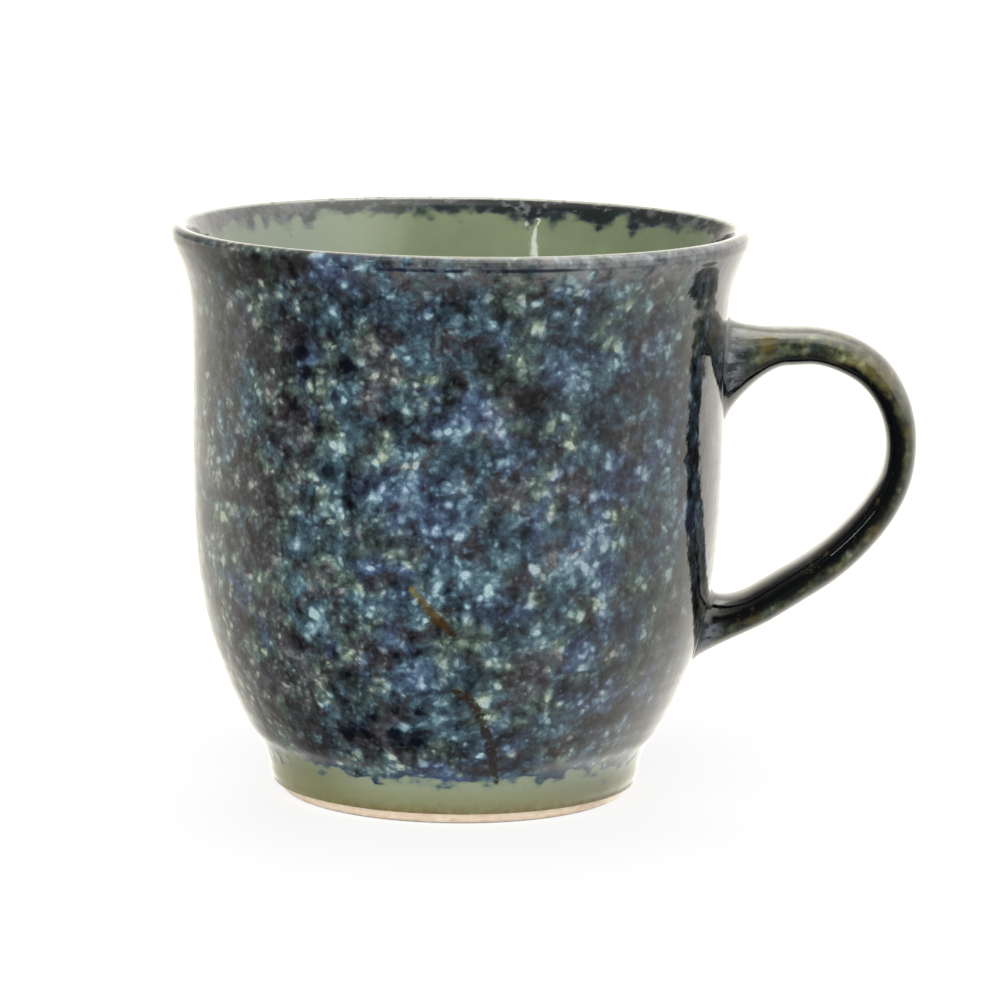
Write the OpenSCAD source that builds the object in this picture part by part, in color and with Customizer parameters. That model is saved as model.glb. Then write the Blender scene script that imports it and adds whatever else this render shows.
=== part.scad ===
// Stoneware mug with a bell lip, a turned foot and a pulled strap handle.
// Z is up, the origin is the centre of the ring that the mug stands on, and
// the handle points along +X. All dimensions are in millimetres.

/* [Body] */
// Largest diameter of the flared lip
rim_d = 95; // [90:0.5:100]
// Height from the table to the top of the lip
mug_h = 94; // [88:0.5:100]
// Wall thickness near the middle, both glaze coats included
wall_t = 4; // [3.4:0.1:4.6]

/* [Foot] */
// Height of the turned foot ring below the clay floor
foot_h = 4; // [3.5:0.1:4.4]
// Outer diameter of the flat ring that touches the table
rest_d = 55.8; // [54:0.2:56.4]
// Width of the flat ring that touches the table
rest_w = 2.2; // [1.6:0.1:3]

/* [Handle] */
// Width of the strap, across the hand
strap_w = 13; // [11:0.5:15]
// Thickness of the strap where it is fullest
strap_t = 6.4; // [5.6:0.1:7]
// How square the strap's section is: 2 is an ellipse
strap_sq = 2.4; // [2:0.1:3]
// Height on the wall of the upper joint's centre
upper_z = 70.9; // [69:0.1:72]
// Height on the wall of the lower joint's centre
lower_z = 28; // [27:0.1:29]

/* [Glaze] */
// Thickness of every fired glaze coat
glaze_t = 0.4; // [0.3:0.05:0.5]
// Height of the iron brush strokes above the glaze
stroke_t = 0.12; // [0.08:0.01:0.2]

/* [Detail] */
// Facets of the strap around its section
sides = 24; // [16:4:28]
// Points of the turned profile between two control points
steps = 2; // [2:1:3]

/* [Hidden] */
$fn = 96;

kr = rim_d / 95;
kz = mug_h / 94;

// Glazed surface of the mug as [radius, height], from the glaze line above the
// foot, up the outside, over the lip and down the inside to the floor's centre.
outer_ctl = [[30.3, 2], [30.8, 3.4], [31.1, 5.2], [31.7, 7.2], [32.7, 9], [33.9, 10.5],
    [35, 12.5], [36.4, 15.4], [38.1, 19.4], [40, 24.4], [41.5, 30], [42.7, 37],
    [43.5, 46], [43.8, 56], [43.9, 66], [44, 74], [44.3, 81], [45, 85.4],
    [46.1, 88.6], [46.9, 90.6], [47.4, 92.1], [47.3, 93.2], [46.7, 93.8], [45.9, 94]];
inner_ctl = [[45.1, 93.7], [44.5, 93], [43.9, 91.8], [43, 89.6], [41.9, 86.5],
    [41, 83], [40.4, 79], [40.1, 72], [39.9, 60], [39.6, 48], [38.9, 38],
    [37.3, 29], [34.8, 21.8], [31.5, 16.4], [27.4, 12.6], [22.5, 10.4],
    [16, 9.3], [8, 8.8], [0, 8.7]];
thin = wall_t - 4;
ctl = [for (p = outer_ctl) [p[0] * kr, p[1] * kz],
       for (p = inner_ctl) [max(0, p[0] * kr - (p[1] < 90 && p[0] > 30 ? thin : 0)), p[1] * kz]];

// Control points at which one glaze coat gives way to the next.
i_band = 3;
i_rim = 19;
i_liner = 27;

// Strap centre line as [x, z, half thickness], from the upper joint round to
// the lower one.
strap_ctl = [[54, 74.8, 3.2], [59, 74.8, 3.1], [63.5, 73.6, 3.2], [67.6, 71.2, 3.15],
    [70.8, 67.2, 2.9], [72.6, 62.4, 2.75], [73, 57.6, 2.65], [72.2, 52.8, 2.7],
    [69.8, 48, 2.9], [66.2, 43.4, 3.05], [61.4, 38.9, 3.15], [55.5, 34.9, 3.15],
    [51, 32, 3.1]];
strap = [for (p = strap_ctl) [p[0] + (kr - 1) * 47.5, p[1] * kz, p[2] * strap_t / 6.4]];

// Joints on the wall: centre height, half height, half width.
upper = [upper_z * kz, 8.9, strap_w * 0.66];
lower = [lower_z * kz, 6.3, strap_w * 0.58];
lute_steps = 6;

// Iron brush strokes as [angle from the front, height, half width].
stroke_a = [[-9.4, 41, 0.35], [-7.6, 39.3, 0.6], [-5, 37, 0.75], [-2.5, 35, 0.7], [-0.3, 33.2, 0.35]];
stroke_b = [[-0.5, 24.2, 0.35], [3.1, 23, 0.7], [5.6, 20.4, 0.85], [7.8, 17, 0.8],
    [10.4, 11.7, 0.7], [12.6, 7.4, 0.35]];

// Smooth curve through a list of points, with k steps between two of them.
function tangent(p, i) =
    let (n = len(p) - 1)
    i == 0 ? (p[1] - p[0]) / norm(p[1] - p[0])
    : i == n ? (p[n] - p[n - 1]) / norm(p[n] - p[n - 1])
    : let (a = norm(p[i] - p[i - 1]), b = norm(p[i + 1] - p[i]))
      ((p[i] - p[i - 1]) / a * b + (p[i + 1] - p[i]) / b * a) / (a + b);
function hermite(p0, m0, p1, m1, t) =
    (2 * t ^ 3 - 3 * t ^ 2 + 1) * p0 + (t ^ 3 - 2 * t ^ 2 + t) * m0
    + (3 * t ^ 2 - 2 * t ^ 3) * p1 + (t ^ 3 - t ^ 2) * m1;
function curve(p, k) = [
    for (i = [0 : len(p) - 2], j = [0 : k - 1])
        let (d = norm(p[i + 1] - p[i]))
        hermite(p[i], tangent(p, i) * d, p[i + 1], tangent(p, i + 1) * d, j / k),
    p[len(p) - 1]];

// A turned profile moved by d to its right-hand side, which is inwards here.
function left_of(v) = [-v[1], v[0]] / norm(v);
function shifted(p, d) = [
    for (i = [0 : len(p) - 1])
        let (a = p[max(i - 1, 0)], b = p[min(i + 1, len(p) - 1)], n = left_of(b - a))
        [max(0, p[i][0] + n[0] * d), p[i][1] + n[1] * d]];

skin = curve(ctl, steps);
clay = shifted(skin, glaze_t);
n_top = (len(outer_ctl) - 1) * steps;

function part_of(p, a, b) = [for (i = [a : b]) p[i]];
function flip(p) = [for (i = [len(p) - 1 : -1 : 0]) p[i]];

// Radius of the glazed and of the bare outer wall at a height.
skin_tab = [for (i = [0 : n_top - 2 * steps]) [skin[i][1], skin[i][0]]];
clay_tab = [for (i = [0 : n_top - 2 * steps]) [clay[i][1], clay[i][0]]];
function r_skin(z) = lookup(z, skin_tab);
function r_clay(z) = lookup(z, clay_tab);
function on_wall(y, z, r) = [sqrt(r * r - y * y), y, z];

// Strap section: superellipse with half thickness a and half width b.
function sgn_pow(v, e) = (v < 0 ? -1 : 1) * abs(v) ^ e;
function oval(a, b, i) =
    let (f = 360 * i / sides, e = 2 / strap_sq)
    [a * sgn_pow(cos(f), e), b * sgn_pow(sin(f), e)];

path = curve(strap, 3);
function width_at(u) = strap_w / 2 * (1 - 0.1 * sin(180 * u));
// Ring of points around the strap at path point i, grown by g.
function strap_ring(i, g) =
    let (n = len(path) - 1,
         a = path[max(i - 1, 0)], b = path[min(i + 1, n)],
         d = [b[0] - a[0], b[1] - a[1]] / norm([b[0] - a[0], b[1] - a[1]]),
         out = [-d[1], d[0]])
    [for (k = [0 : sides - 1])
        let (q = oval(path[i][2] + g, width_at(i / n) + g, k))
        [path[i][0] + out[0] * q[0], q[1], path[i][1] + out[1] * q[0]]];
function path_dir(i) =
    let (n = len(path) - 1, a = path[max(i - 1, 0)], b = path[min(i + 1, n)])
    [b[0] - a[0], 0, b[1] - a[1]] / norm([b[0] - a[0], b[1] - a[1]]);

// Outline of a joint on the wall, as [y, z], grown by g. The first point is
// the top, as on the strap's own rings at the upper joint.
function joint_yz(j, g, k, up) =
    let (f = 360 * k / sides)
    [(j[2] + g) * sin(f), j[0] + (j[1] + g) * cos(f) * up];

// One line of the clay fillet that runs from the wall to the strap's end ring.
// dir points from the wall into the strap.
function fillet_line(j, g, end, dir, k, up) =
    let (q = joint_yz(j, g, k, up), r = r_skin(q[1]), w = on_wall(q[0], q[1], r),
         slope = (r_skin(q[1] + 0.5) - r_skin(q[1] - 0.5)),
         n0 = [w[0] / r, w[1] / r, -slope], n = n0 / norm(n0),
         c = on_wall(0, j[0], r_skin(j[0])) - w,
         t0 = c - (c * n) * n, t = t0 / norm(t0))
    [for (s = [0 : lute_steps])
        hermite(w, t * 6.5, end[k], dir * 12, s / lute_steps)];

function lute_rings(j, g, end, dir, up) =
    let (l = [for (k = [0 : sides - 1]) fillet_line(j, g, end, dir, k, up)])
    [for (s = [0 : lute_steps]) [for (k = [0 : sides - 1]) l[k][s]]];

n_path = len(path) - 1;
// The strap's outer side faces up at the upper joint and down at the lower
// one, so the lower joint's outline is run with its first point at the bottom.
function upper_rings(g) = lute_rings(upper, g + glaze_t, strap_ring(0, g), path_dir(0), 1);
function lower_rings(g) = lute_rings(lower, g + glaze_t, strap_ring(n_path, g), -path_dir(n_path), -1);

// Closed solid through a list of rings, whose first and last ring are capped.
// The first cap can follow the wall through extra rings.
module loft(rings) {
    n = len(rings[0]);
    m = len(rings);
    first = rings[0];
    last = rings[m - 1];
    mid0 = [for (a = [0 : 2]) [for (p = first) p[a]] * [for (p = first) 1] / n];
    mid1 = [for (a = [0 : 2]) [for (p = last) p[a]] * [for (p = last) 1] / n];
    polyhedron(
        points = [for (r = rings) each r, mid0, mid1],
        faces = [
            for (s = [0 : m - 2], k = [0 : n - 1])
                let (a = s * n + k, b = s * n + (k + 1) % n, c = a + n, d = b + n)
                each [[a, b, d], [a, d, c]],
            for (k = [0 : n - 1]) [m * n, (k + 1) % n, k],
            for (k = [0 : n - 1]) [m * n + 1, (m - 1) * n + k, (m - 1) * n + (k + 1) % n]],
        convexity = 6);
}

// Skin between an outer and an inner list of rings, closed at both ends.
module sleeve(outer, inner) {
    n = len(outer[0]);
    all = [for (r = outer) r, for (i = [len(inner) - 1 : -1 : 0]) inner[i]];
    m = len(all);
    polyhedron(
        points = [for (r = all) each r],
        faces = [for (s = [0 : m - 1], k = [0 : n - 1])
            let (a = s * n + k, b = s * n + (k + 1) % n,
                 c = ((s + 1) % m) * n + k, d = ((s + 1) % m) * n + (k + 1) % n)
            each [[a, b, d], [a, d, c]]],
        convexity = 8);
}

// Rings that carry a joint's cap over the round clay wall, ending near its
// middle, then the step through the glaze.
function cap_rings(j, up) = [
    for (s = [0.33, 0.67, 1])
        [for (k = [0 : sides - 1])
            let (q = joint_yz(j, 0, k, up), y = q[0] * s, z = j[0] + (q[1] - j[0]) * s)
            on_wall(y, z, r_clay(z))]];

// Straight plug the shape of a joint, which opens the glaze for the clay.
module joint_plug(j) {
    translate([20, 0, 0]) rotate([90, 0, 90]) linear_extrude(height = 40)
        polygon([for (k = [0 : sides - 1]) joint_yz(j, 0, k, 1)]);
}

// Turned coat of glaze between two points of the profile.
module coat(a, b) {
    rotate_extrude() polygon(concat(part_of(skin, a, b), flip(part_of(clay, a, b))));
}

// Wall and floor, thrown as one piece of clay.
module thrown_body() {
    up = [for (i = [0 : len(clay) - 1]) if (i > n_top || clay[i][1] > foot_h + 0.05) clay[i]];
    color([0.80, 0.73, 0.64])
    rotate_extrude() polygon(concat(up, [[0, foot_h], [r_clay(foot_h), foot_h]]));
}

// Turned foot: bare clay below the glaze line.
module foot_ring() {
    r = rest_d / 2;
    ri = r - rest_w;
    up = [for (i = [0 : n_top]) if (clay[i][1] > 2.05 && clay[i][1] < foot_h - 0.05) clay[i]];
    color([0.85, 0.75, 0.65])
    rotate_extrude() polygon(concat(
        [[ri, 0], [r, 0], [r + 0.5, 0.3], [r + 1, 0.8], [r + 1.5, 1.4], [29.9 * kr, 2]],
        up,
        [[r_clay(foot_h), foot_h], [ri - 1.6, foot_h], [ri - 1.2, 2.6], [ri - 0.5, 0.5]]));
}

// Pulled strap of clay between the two joints.
module handle_strap() {
    color([0.80, 0.73, 0.64])
    loft([for (i = [0 : n_path]) strap_ring(i, -glaze_t)]);
}

// Clay and slip worked round the strap's ends where they meet the wall.
module upper_lute() {
    color([0.76, 0.70, 0.62])
    loft(concat(cap_rings(upper, 1), upper_rings(-glaze_t)));
}
module lower_lute() {
    color([0.76, 0.70, 0.62])
    loft(concat(cap_rings(lower, -1), lower_rings(-glaze_t)));
}

// Plain celadon left showing above the foot.
module celadon_band() {
    color([0.50, 0.58, 0.46]) coat(0, i_band * steps);
}

// Sponged blue coat on the outer wall, open where the handle is joined.
module mottled_glaze() {
    color([0.20, 0.27, 0.36])
    difference() {
        coat(i_band * steps, i_rim * steps);
        joint_plug(upper);
        joint_plug(lower);
    }
}

// Sponged coat carried over the lip.
module rim_glaze() {
    color([0.22, 0.25, 0.30]) coat(i_rim * steps, i_liner * steps);
}

// Celadon lining of the cup.
module liner_glaze() {
    color([0.56, 0.65, 0.52]) coat(i_liner * steps, len(skin) - 1);
}

// Celadon under the floor, inside the foot ring.
module foot_well_glaze() {
    color([0.56, 0.65, 0.52])
    translate([0, 0, foot_h - glaze_t]) cylinder(r = rest_d / 2 - rest_w - 2, h = glaze_t);
}

// Glaze over the strap and over both joints, down to the wall's own glaze.
module handle_glaze() {
    color([0.25, 0.28, 0.22])
    sleeve(
        concat(upper_rings(0), [for (i = [1 : n_path - 1]) strap_ring(i, 0)], flip_rings(lower_rings(0))),
        concat(upper_rings(-glaze_t), [for (i = [1 : n_path - 1]) strap_ring(i, -glaze_t)], flip_rings(lower_rings(-glaze_t))));
}
function flip_rings(r) = [for (i = [len(r) - 1 : -1 : 0]) r[i]];

// Two iron brush strokes on the front of the wall, each a thin raised line.
module stroke(ctl3) {
    p = curve(ctl3, 4);
    n = len(p) - 1;
    us = [-1, -0.5, 0, 0.5, 1];
    // Across the stroke, as an angle and a height on the wall.
    function edge(i, u) =
        let (a = p[max(i - 1, 0)], b = p[min(i + 1, n)],
             r = r_skin(p[i][1]), d = [(b[0] - a[0]) * PI / 180 * r, b[1] - a[1]],
             c = left_of(d) * p[i][2] * u)
        [p[i][0] + c[0] / r * 180 / PI, p[i][1] + c[1]];
    function at(i, u, h) =
        let (q = edge(i, u), r = r_skin(q[1]) + h)
        [r * sin(q[0]), -r * cos(q[0]), q[1]];
    rings = [for (i = [0 : n]) concat(
        [for (u = us) at(i, u, stroke_t * (1.15 - u * u))],
        [for (u = [1, 0.5, 0, -0.5, -1]) at(i, u, 0)])];
    loft(rings);
}
module iron_strokes() {
    color([0.42, 0.31, 0.10]) { stroke(stroke_a); stroke(stroke_b); }
}

thrown_body();
foot_ring();
handle_strap();
upper_lute();
lower_lute();
celadon_band();
mottled_glaze();
rim_glaze();
liner_glaze();
foot_well_glaze();
handle_glaze();
iron_strokes();
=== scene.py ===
import bpy
import math
import numpy as np
from mathutils import Matrix, Vector


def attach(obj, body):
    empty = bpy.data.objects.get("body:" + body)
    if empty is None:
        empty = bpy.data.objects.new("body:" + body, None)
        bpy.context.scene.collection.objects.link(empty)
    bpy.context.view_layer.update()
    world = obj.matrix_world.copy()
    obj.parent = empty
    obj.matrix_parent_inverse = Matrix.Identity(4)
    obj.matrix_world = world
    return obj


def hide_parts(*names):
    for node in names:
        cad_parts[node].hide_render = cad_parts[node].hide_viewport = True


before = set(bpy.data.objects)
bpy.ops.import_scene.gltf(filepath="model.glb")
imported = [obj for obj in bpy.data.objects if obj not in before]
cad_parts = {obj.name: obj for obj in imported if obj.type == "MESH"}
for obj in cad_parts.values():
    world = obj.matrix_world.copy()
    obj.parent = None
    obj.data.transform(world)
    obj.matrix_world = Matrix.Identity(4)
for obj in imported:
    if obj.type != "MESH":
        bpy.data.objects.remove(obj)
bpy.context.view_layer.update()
MM = 0.001

# ------------------------------------------------------------------ shape
# The same control points as the design, in millimetres: [radius, height] of
# the glazed surface, and [x, z, half thickness] along the strap.
OUTER = [[30.3, 2], [30.8, 3.4], [31.1, 5.2], [31.7, 7.2], [32.7, 9], [33.9, 10.5],
         [35, 12.5], [36.4, 15.4], [38.1, 19.4], [40, 24.4], [41.5, 30], [42.7, 37],
         [43.5, 46], [43.8, 56], [43.9, 66], [44, 74], [44.3, 81], [45, 85.4],
         [46.1, 88.6], [46.9, 90.6], [47.4, 92.1], [47.3, 93.2], [46.7, 93.8], [45.9, 94]]
INNER = [[45.1, 93.7], [44.5, 93], [43.9, 91.8], [43, 89.6], [41.9, 86.5],
         [41, 83], [40.4, 79], [40.1, 72], [39.9, 60], [39.6, 48], [38.9, 38],
         [37.3, 29], [34.8, 21.8], [31.5, 16.4], [27.4, 12.6], [22.5, 10.4],
         [16, 9.3], [8, 8.8], [0, 8.7]]
I_BAND, I_RIM, I_LINER = 3, 19, 27
STRAP = [[54, 74.8, 3.2], [59, 74.8, 3.1], [63.5, 73.6, 3.2], [67.6, 71.2, 3.15],
         [70.8, 67.2, 2.9], [72.6, 62.4, 2.75], [73, 57.6, 2.65], [72.2, 52.8, 2.7],
         [69.8, 48, 2.9], [66.2, 43.4, 3.05], [61.4, 38.9, 3.15], [55.5, 34.9, 3.15],
         [51, 32, 3.1]]
STRAP_W, STRAP_SQ, GLAZE = 13.0, 2.4, 0.4
UPPER = (70.9, 8.9, STRAP_W * 0.66)
LOWER = (28.0, 6.3, STRAP_W * 0.58)
STROKES = [
    [[-9.4, 41, 0.35], [-7.6, 39.3, 0.6], [-5, 37, 0.75], [-2.5, 35, 0.7], [-0.3, 33.2, 0.35]],
    [[-0.5, 24.2, 0.35], [3.1, 23, 0.7], [5.6, 20.4, 0.85], [7.8, 17, 0.8],
     [10.4, 11.7, 0.7], [12.6, 7.4, 0.35]]]


def curve(p, k):
    p = np.array(p, float)
    n = len(p) - 1
    d = np.linalg.norm(np.diff(p, axis=0), axis=1)
    t = np.zeros_like(p)
    t[0] = (p[1] - p[0]) / d[0]
    t[n] = (p[n] - p[n - 1]) / d[n - 1]
    for i in range(1, n):
        a, b = d[i - 1], d[i]
        t[i] = ((p[i] - p[i - 1]) / a * b + (p[i + 1] - p[i]) / b * a) / (a + b)
    out = []
    for i in range(n):
        for j in range(k):
            s = j / k
            out.append((2 * s**3 - 3 * s**2 + 1) * p[i] + (s**3 - 2 * s**2 + s) * t[i] * d[i]
                       + (3 * s**2 - 2 * s**3) * p[i + 1] + (s**3 - s**2) * t[i + 1] * d[i])
    out.append(p[n])
    return np.array(out)


def resample(p, step, ends=False):
    """Points at even distances along a polyline, both ends kept, with a close row at each end if asked."""
    s = np.concatenate([[0], np.cumsum(np.linalg.norm(np.diff(p[:, :2], axis=0), axis=1))])
    n = max(2, int(round(s[-1] / step)))
    q = np.linspace(0, s[-1], n + 1)
    if ends:
        q = np.sort(np.append(q, [0.05, s[-1] - 0.05]))
    return np.stack([np.interp(q, s, p[:, k]) for k in range(p.shape[1])], 1)


KS = 24
SKIN = curve(OUTER + INNER, KS)
N_TOP = (len(OUTER) - 1) * KS


def normals2(p):
    d = np.gradient(p, axis=0)
    n = np.stack([-d[:, 1], d[:, 0]], 1)
    return n / np.linalg.norm(n, axis=1)[:, None]


CLAY = SKIN + normals2(SKIN) * GLAZE
CLAY[:, 0] = np.maximum(CLAY[:, 0], 0)
up_z, up_r = SKIN[: N_TOP - 2 * KS, 1], SKIN[: N_TOP - 2 * KS, 0]


def r_skin(z):
    return np.interp(z, up_z, up_r)


# ------------------------------------------------------------------ noise
rng = np.random.default_rng(7)
_G = rng.standard_normal((64, 512))


def grid_noise(u, v, seed, octaves=3, gain=0.5):
    """Smooth noise that repeats in u with period 1 (in whole cells of the first octave) and runs on in v. About -1 to 1."""
    out = np.zeros(np.broadcast(u, v).shape)
    amp, tot, f = 1.0, 0.0, 1
    for o in range(octaves):
        g = np.roll(_G, seed * 37 + o * 11, axis=1)
        g = np.roll(g, seed * 5 + o * 3, axis=0)
        nu = grid_noise.cells * f
        x = np.mod(u, 1.0) * nu
        y = v * f
        xi, yi = np.floor(x).astype(int), np.floor(y).astype(int)
        fx, fy = x - xi, y - yi
        fx, fy = fx * fx * (3 - 2 * fx), fy * fy * (3 - 2 * fy)

        def at(a, b):
            return g[np.mod(b, 64), np.mod(np.mod(a, nu), 512)]
        out = out + amp * ((at(xi, yi) * (1 - fx) + at(xi + 1, yi) * fx) * (1 - fy)
                           + (at(xi, yi + 1) * (1 - fx) + at(xi + 1, yi + 1) * fx) * fy)
        tot += amp * amp
        amp *= gain
        f *= 2
    return out / math.sqrt(tot)


def turned_noise(theta, z, seed, cells, vscale, octaves=3, gain=0.5):
    grid_noise.cells = cells
    return grid_noise(theta / (2 * math.pi), z * vscale, seed, octaves, gain)


def smooth(a, b, x):
    t = np.clip((x - a) / (b - a), 0, 1)
    return t * t * (3 - 2 * t)


# ------------------------------------------------------------------ meshes
def new_mesh(name, verts, faces, attrs=None, sharp=None):
    quads = np.array([f if len(f) == 4 else [f[0], f[1], f[2], f[2]] for f in faces])
    p = verts[quads]
    vol = (np.cross(p[:, 0], p[:, 1]) * p[:, 2]).sum() + (np.cross(p[:, 0], p[:, 2]) * p[:, 3]).sum()
    if vol < 0:
        faces = [f[::-1] for f in faces]
    me = bpy.data.meshes.new(name)
    me.from_pydata([tuple(v) for v in (verts * MM)], [], faces)
    me.update()
    if attrs:
        for k, a in attrs.items():
            at = me.attributes.new(k, "FLOAT", "POINT")
            at.data.foreach_set("value", np.asarray(a, np.float32).ravel())
    me.polygons.foreach_set("use_smooth", [True] * len(me.polygons))
    if sharp is not None:
        # sharp is one ring number per vertex, or -1: an edge within one ring is a crisp edge of the coat
        e = np.zeros(len(me.edges) * 2, int)
        me.edges.foreach_get("vertices", e)
        r = np.asarray(sharp)[e.reshape(-1, 2)]
        at = me.attributes.new("sharp_edge", "BOOLEAN", "EDGE")
        at.data.foreach_set("value", (r[:, 0] == r[:, 1]) & (r[:, 0] >= 0))
    ob = bpy.data.objects.new(name, me)
    bpy.context.scene.collection.objects.link(ob)
    return ob


R_MAX, Z_MAX, X_MAX = 47.39, 93.996, 75.668


def lathe(name, loop, n_theta, displace=None, attr=None, pole=False):
    """Turned closed skin. loop is the whole closed profile [r, z, visible].
    displace(theta, r, z, vis, attrs) moves points along r, z; attr(theta, r, z) gives attributes."""
    th = np.arange(n_theta) * 2 * math.pi / n_theta
    m = len(loop)
    R = np.repeat(loop[:, 0:1], n_theta, 1)
    Z = np.repeat(loop[:, 1:2], n_theta, 1)
    T = np.repeat(th[None, :], m, 0)
    attrs = attr(T, R, Z) if attr else None
    if displace:
        R, Z = displace(T, R, Z, np.repeat(loop[:, 2:3], n_theta, 1), attrs)
    R, Z = np.minimum(R, R_MAX), np.minimum(Z, Z_MAX)
    V = np.stack([R * np.cos(T), R * np.sin(T), Z], -1).reshape(-1, 3)
    idx = np.arange(m * n_theta).reshape(m, n_theta)
    a = idx
    b = np.roll(idx, -1, axis=1)
    rows = m - 1 if pole else m
    c = np.roll(idx, -1, axis=0)
    d = np.roll(b, -1, axis=0)
    faces = np.stack([a[:rows], b[:rows], d[:rows], c[:rows]], -1).reshape(-1, 4).tolist()
    v = loop[:, 2] > 0
    edge_row = (v != np.roll(v, 1)) | (v != np.roll(v, -1))
    if pole:
        edge_row[0] = edge_row[-1] = False
    ring = np.where(edge_row[:, None], np.arange(m)[:, None], -1) + np.zeros((m, n_theta), int)
    ring = ring.ravel()
    if pole:
        V = np.vstack([V, [[0, 0, Z[0].mean()]], [[0, 0, Z[-1].mean()]]])
        p0, p1 = m * n_theta, m * n_theta + 1
        faces += [[p0, int(b[0, k]), int(a[0, k])] for k in range(n_theta)]
        faces += [[p1, int(a[m - 1, k]), int(b[m - 1, k])] for k in range(n_theta)]
        ring = np.append(ring, [-1, -1])
        if attrs:
            attrs = {k: np.append(v.ravel(), [v[0].mean(), v[-1].mean()]) for k, v in attrs.items()}
    return new_mesh(name, V, faces, attrs, ring)


def skin_loop(i0, i1, step, back):
    """Closed profile of a coat between two control points: the glazed face finely, the clay face coarsely."""
    vis = resample(SKIN[i0 * KS: i1 * KS + 1], step, True)
    hid = resample(CLAY[i0 * KS: i1 * KS + 1], back)[::-1]
    vis = np.column_stack([vis, np.ones(len(vis))])
    hid = np.column_stack([hid, np.zeros(len(hid))])
    return np.vstack([vis, hid])


TH_FRONT = -math.pi / 2        # the side that the camera sees


def edge_outside(T, Z):
    """Distance in mm above the ragged lower edge of the sponged coat."""
    a = np.degrees(np.mod(T - TH_FRONT + math.pi, 2 * math.pi) - math.pi)
    base = 7.75 + 0.55 * turned_noise(T, 0 * T, 1, 9, 1.0, 2)
    base = base + 0.9 * np.exp(-((a + 62) / 16) ** 2) + 0.5 * np.exp(-((a - 78) / 12) ** 2) - 0.4 * np.exp(-((a - 24) / 20) ** 2)
    rag = 0.95 * turned_noise(T + 0.012 * Z, Z, 2, 96, 0.75, 3, 0.6)
    drip = np.maximum(0, turned_noise(T - 0.01 * Z, Z, 3, 70, 0.22, 2)) ** 1.5
    return Z - base + rag + 0.9 * drip


def edge_inside(T, Z):
    """The same at the inner rim: positive where the sponged coat lies."""
    base = 91.4 - 0.85 * smooth(138, 165, np.abs(front_angle(T))) + 0.5 * turned_noise(T, 0 * T, 4, 11, 1.0, 2)
    rag = 0.85 * turned_noise(T, Z, 5, 84, 0.42, 3, 0.6)
    drip = np.maximum(0, turned_noise(T, 0 * Z, 6, 76, 0.2, 2)) ** 1.4
    return Z - base + rag + 1.1 * drip


def stroke_field(T, Z):
    """1 on the iron strokes, falling to 0 within about a millimetre."""
    best = np.zeros(T.shape)
    a = np.degrees(np.mod(T - TH_FRONT + math.pi, 2 * math.pi) - math.pi)
    near = (np.abs(a) < 20) & (Z < 45)
    if not near.any():
        return best
    x, z = np.radians(a[near]) * r_skin(Z[near]), Z[near]
    out = np.zeros(x.shape)
    for s in STROKES:
        p = curve(s, 6)
        px = np.radians(p[:, 0]) * r_skin(p[:, 1])
        for i in range(len(p) - 1):
            ax, az, bx, bz = px[i], p[i, 1], px[i + 1], p[i + 1, 1]
            L2 = (bx - ax) ** 2 + (bz - az) ** 2
            t = np.clip(((x - ax) * (bx - ax) + (z - az) * (bz - az)) / L2, 0, 1)
            d = np.hypot(x - ax - t * (bx - ax), z - az - t * (bz - az))
            w = p[i, 2] * (1 - t) + p[i + 1, 2] * t
            out = np.maximum(out, 1 - smooth(w * 0.55, w * 1.5 + 0.15, d))
    best[near] = out
    return best


# Where the sponge print stands out from the rest: [angle from the front in
# degrees, height, radius], in mm, and a strength if it isn't 1.
LIGHT = [[24.5, 45.5, 4.4, 1.8], [-17.4, 70.4, 2.3], [-40, 39.5, 4.0, 1.2], [-17.4, 23, 2.8], [13, 22, 2.4], [21, 58, 2.8], [22, 30, 3.0, 1.5], [4, 65.5, 2.6], [45, 70.5, 2.4], [-10, 57, 2.2], [25.5, 74, 2.4],
         [8, 30, 2.2], [-7.5, 81, 1.8], [40, 84.5, 1.8], [12, 18, 1.8], [-7.5, 27, 3.1], [-24.5, 63, 1.8],
         [15, 76.5, 1.8], [-3.5, 19.6, 3.1], [-35, 40, 2.0], [-45, 40, 1.8], [52, 54, 2.4]]
DARK = [[4, 85.3, 3.0], [12, 86, 2.4, 0.8], [20.5, 86, 3.2, 1.1], [-17.4, 54.5, 3.0], [24, 14.5, 3.0, 1.1], [33, 15, 3.6, 1.5], [34.5, 22.5, 3.4, 1.1],
        [-55, 60, 3.5, 0.9], [-38, 14, 3.0, 0.9], [0.5, 14.5, 2.5, 0.8], [2.7, 39, 2.6, 0.9], [-29, 70, 2.6, 0.8], [-8, 67, 3.0, 0.7],
        [-20, 15, 3.4], [-8, 15.4, 3.2], [-31, 76, 4.0], [-37, 68.6, 2.6], [-11, 32.5, 2.6], [-2.5, 71, 2.2], [2.5, 87.5, 1.8],
        [16, 70.7, 2.8], [5, 78, 1.8], [-28, 16.5, 2.6], [7, 26.7, 1.5], [34, 36, 2.2]]
BLUE = [[-4.5, 52, 5.2], [21, 75, 3.2], [-8.5, 26.5, 3.0], [27, 47, 3.2], [12, 60, 2.4]]
CLOT = [[-23.3, 75.7, 1.6], [-34.6, 77.3, 1.5], [-33, 74.6, 1.4], [-36.5, 68.8, 1.4], [-42.6, 67.2, 0.7], [-28.5, 15.9, 1.3],
        [-15.3, 16.2, 1.2], [-9.3, 15.0, 0.9], [-20.2, 18.6, 0.8], [-13, 29.8, 0.7], [-8.8, 20.2, 0.7], [-30, 65.6, 0.7]]
BACK = np.random.default_rng(11)
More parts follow.
